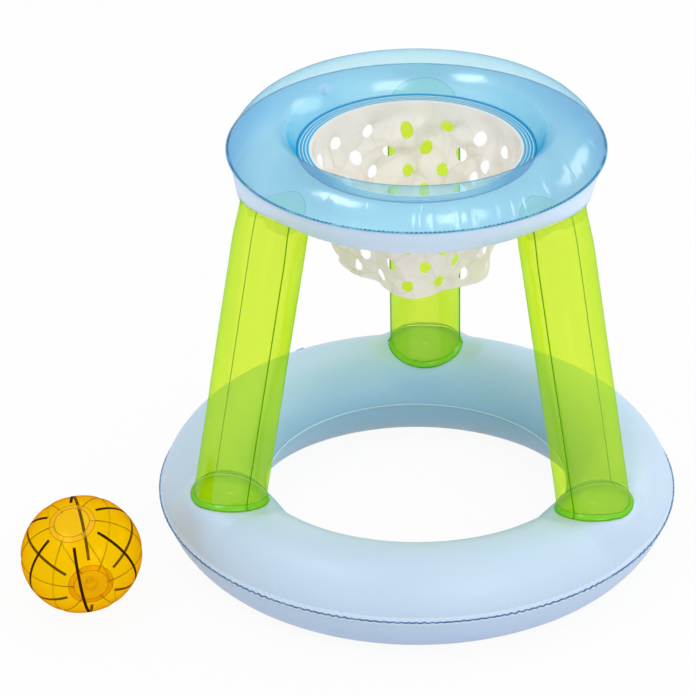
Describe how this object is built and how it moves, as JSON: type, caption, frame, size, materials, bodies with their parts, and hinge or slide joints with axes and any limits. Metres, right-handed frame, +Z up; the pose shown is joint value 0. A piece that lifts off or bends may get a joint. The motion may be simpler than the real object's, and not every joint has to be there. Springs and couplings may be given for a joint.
{
  "type": "inflatable pool basketball hoop",
  "caption": "Floating toy hoop: an inflated floor ring carries leaning inflated legs, a rim ring and a punched film net; a small inflated ball stands beside it.",
  "frame": {"origin": "on the floor, under the middle of the box that holds the hoop and its ball", "axes": "+X from the ball towards the hoop, -Y towards the picture's camera, +Z up"},
  "size_m": [0.8212, 0.66, 0.5852],
  "materials": {
    "base_vinyl": "opaque satin pale blue vinyl film",
    "rim_clear_vinyl": "transparent glossy blue vinyl film",
    "rim_vinyl": "opaque satin pale lavender-blue vinyl film",
    "leg_clear_vinyl": "transparent glossy lime vinyl film",
    "net_vinyl": "soft off-white vinyl film",
    "ball_clear_vinyl": "transparent glossy amber vinyl film",
    "valve_vinyl": "soft milky moulded vinyl"
  },
  "bodies": {
    "hoop": {"base_lower_sheet": "base_vinyl", "base_upper_sheet": "base_vinyl", "rim_upper_sheet": "rim_clear_vinyl", "rim_lower_sheet": "rim_vinyl", "net_sleeve": "net_vinyl", "leg_rear_outer_panel": "leg_clear_vinyl", "leg_rear_inner_panel": "leg_clear_vinyl", "leg_rear_foot_disc": "leg_clear_vinyl", "leg_rear_head_disc": "leg_clear_vinyl", "leg_left_outer_panel": "leg_clear_vinyl", "leg_left_inner_panel": "leg_clear_vinyl", "leg_left_foot_disc": "leg_clear_vinyl", "leg_left_head_disc": "leg_clear_vinyl", "leg_right_outer_panel": "leg_clear_vinyl", "leg_right_inner_panel": "leg_clear_vinyl", "leg_right_foot_disc": "leg_clear_vinyl", "leg_right_head_disc": "leg_clear_vinyl", "base_valve_body": "valve_vinyl", "rim_valve_body": "valve_vinyl"},
    "base_valve_stopper": {"base_valve_plug": "valve_vinyl"},
    "base_valve_tongue": {"base_valve_flap": "valve_vinyl"},
    "rim_valve_stopper": {"rim_valve_plug": "valve_vinyl"},
    "rim_valve_tongue": {"rim_valve_flap": "valve_vinyl"},
    "ball": {"ball_gore_1": "ball_clear_vinyl", "ball_gore_2": "ball_clear_vinyl", "ball_gore_3": "ball_clear_vinyl", "ball_gore_4": "ball_clear_vinyl", "ball_gore_5": "ball_clear_vinyl", "ball_gore_6": "ball_clear_vinyl", "ball_upper_disc": "ball_clear_vinyl", "ball_valve_disc": "ball_clear_vinyl", "ball_valve_body": "ball_clear_vinyl"},
    "ball_valve_stopper": {"ball_valve_plug": "ball_clear_vinyl"},
    "ball_valve_tongue": {"ball_valve_flap": "ball_clear_vinyl"}
  },
  "joints": [
    {"name": "ball_lift", "type": "slide", "parent": "hoop", "child": "ball", "axis": [0, 0, 1], "range_m": [0, 0.75]},
    {"name": "base_valve_plug_hinge", "type": "hinge", "parent": "hoop", "child": "base_valve_stopper", "pos_m": [-0.0713, 0.24785, 0.12148], "axis": [0.8526, 0.5225, 0], "range_deg": [0, 150]},
    {"name": "base_valve_flap_hinge", "type": "hinge", "parent": "hoop", "child": "base_valve_tongue", "pos_m": [-0.0683, 0.24297, 0.10858], "axis": [-0.8526, -0.5225, 0], "range_deg": [0, 60], "stiffness_Nm_per_rad": 0.0004},
    {"name": "rim_valve_plug_hinge", "type": "hinge", "parent": "hoop", "child": "rim_valve_stopper", "pos_m": [-0.03875, 0.19474, 0.53586], "axis": [0.8526, 0.5225, 0], "range_deg": [0, 150]},
    {"name": "rim_valve_flap_hinge", "type": "hinge", "parent": "hoop", "child": "rim_valve_tongue", "pos_m": [-0.03161, 0.18308, 0.53935], "axis": [-0.8526, -0.5225, 0], "range_deg": [0, 60], "stiffness_Nm_per_rad": 0.0004},
    {"name": "ball_valve_plug_hinge", "type": "hinge", "parent": "ball", "child": "ball_valve_stopper", "pos_m": [-0.32698, -0.16415, 0.0044], "axis": [-0.9869, -0.063, -0.1488], "range_deg": [0, 150]},
    {"name": "ball_valve_flap_hinge", "type": "hinge", "parent": "ball", "child": "ball_valve_tongue", "pos_m": [-0.32896, -0.16588, 0.01827], "axis": [0.9869, 0.063, 0.1488], "range_deg": [0, 60], "stiffness_Nm_per_rad": 0.0004}
  ]
}
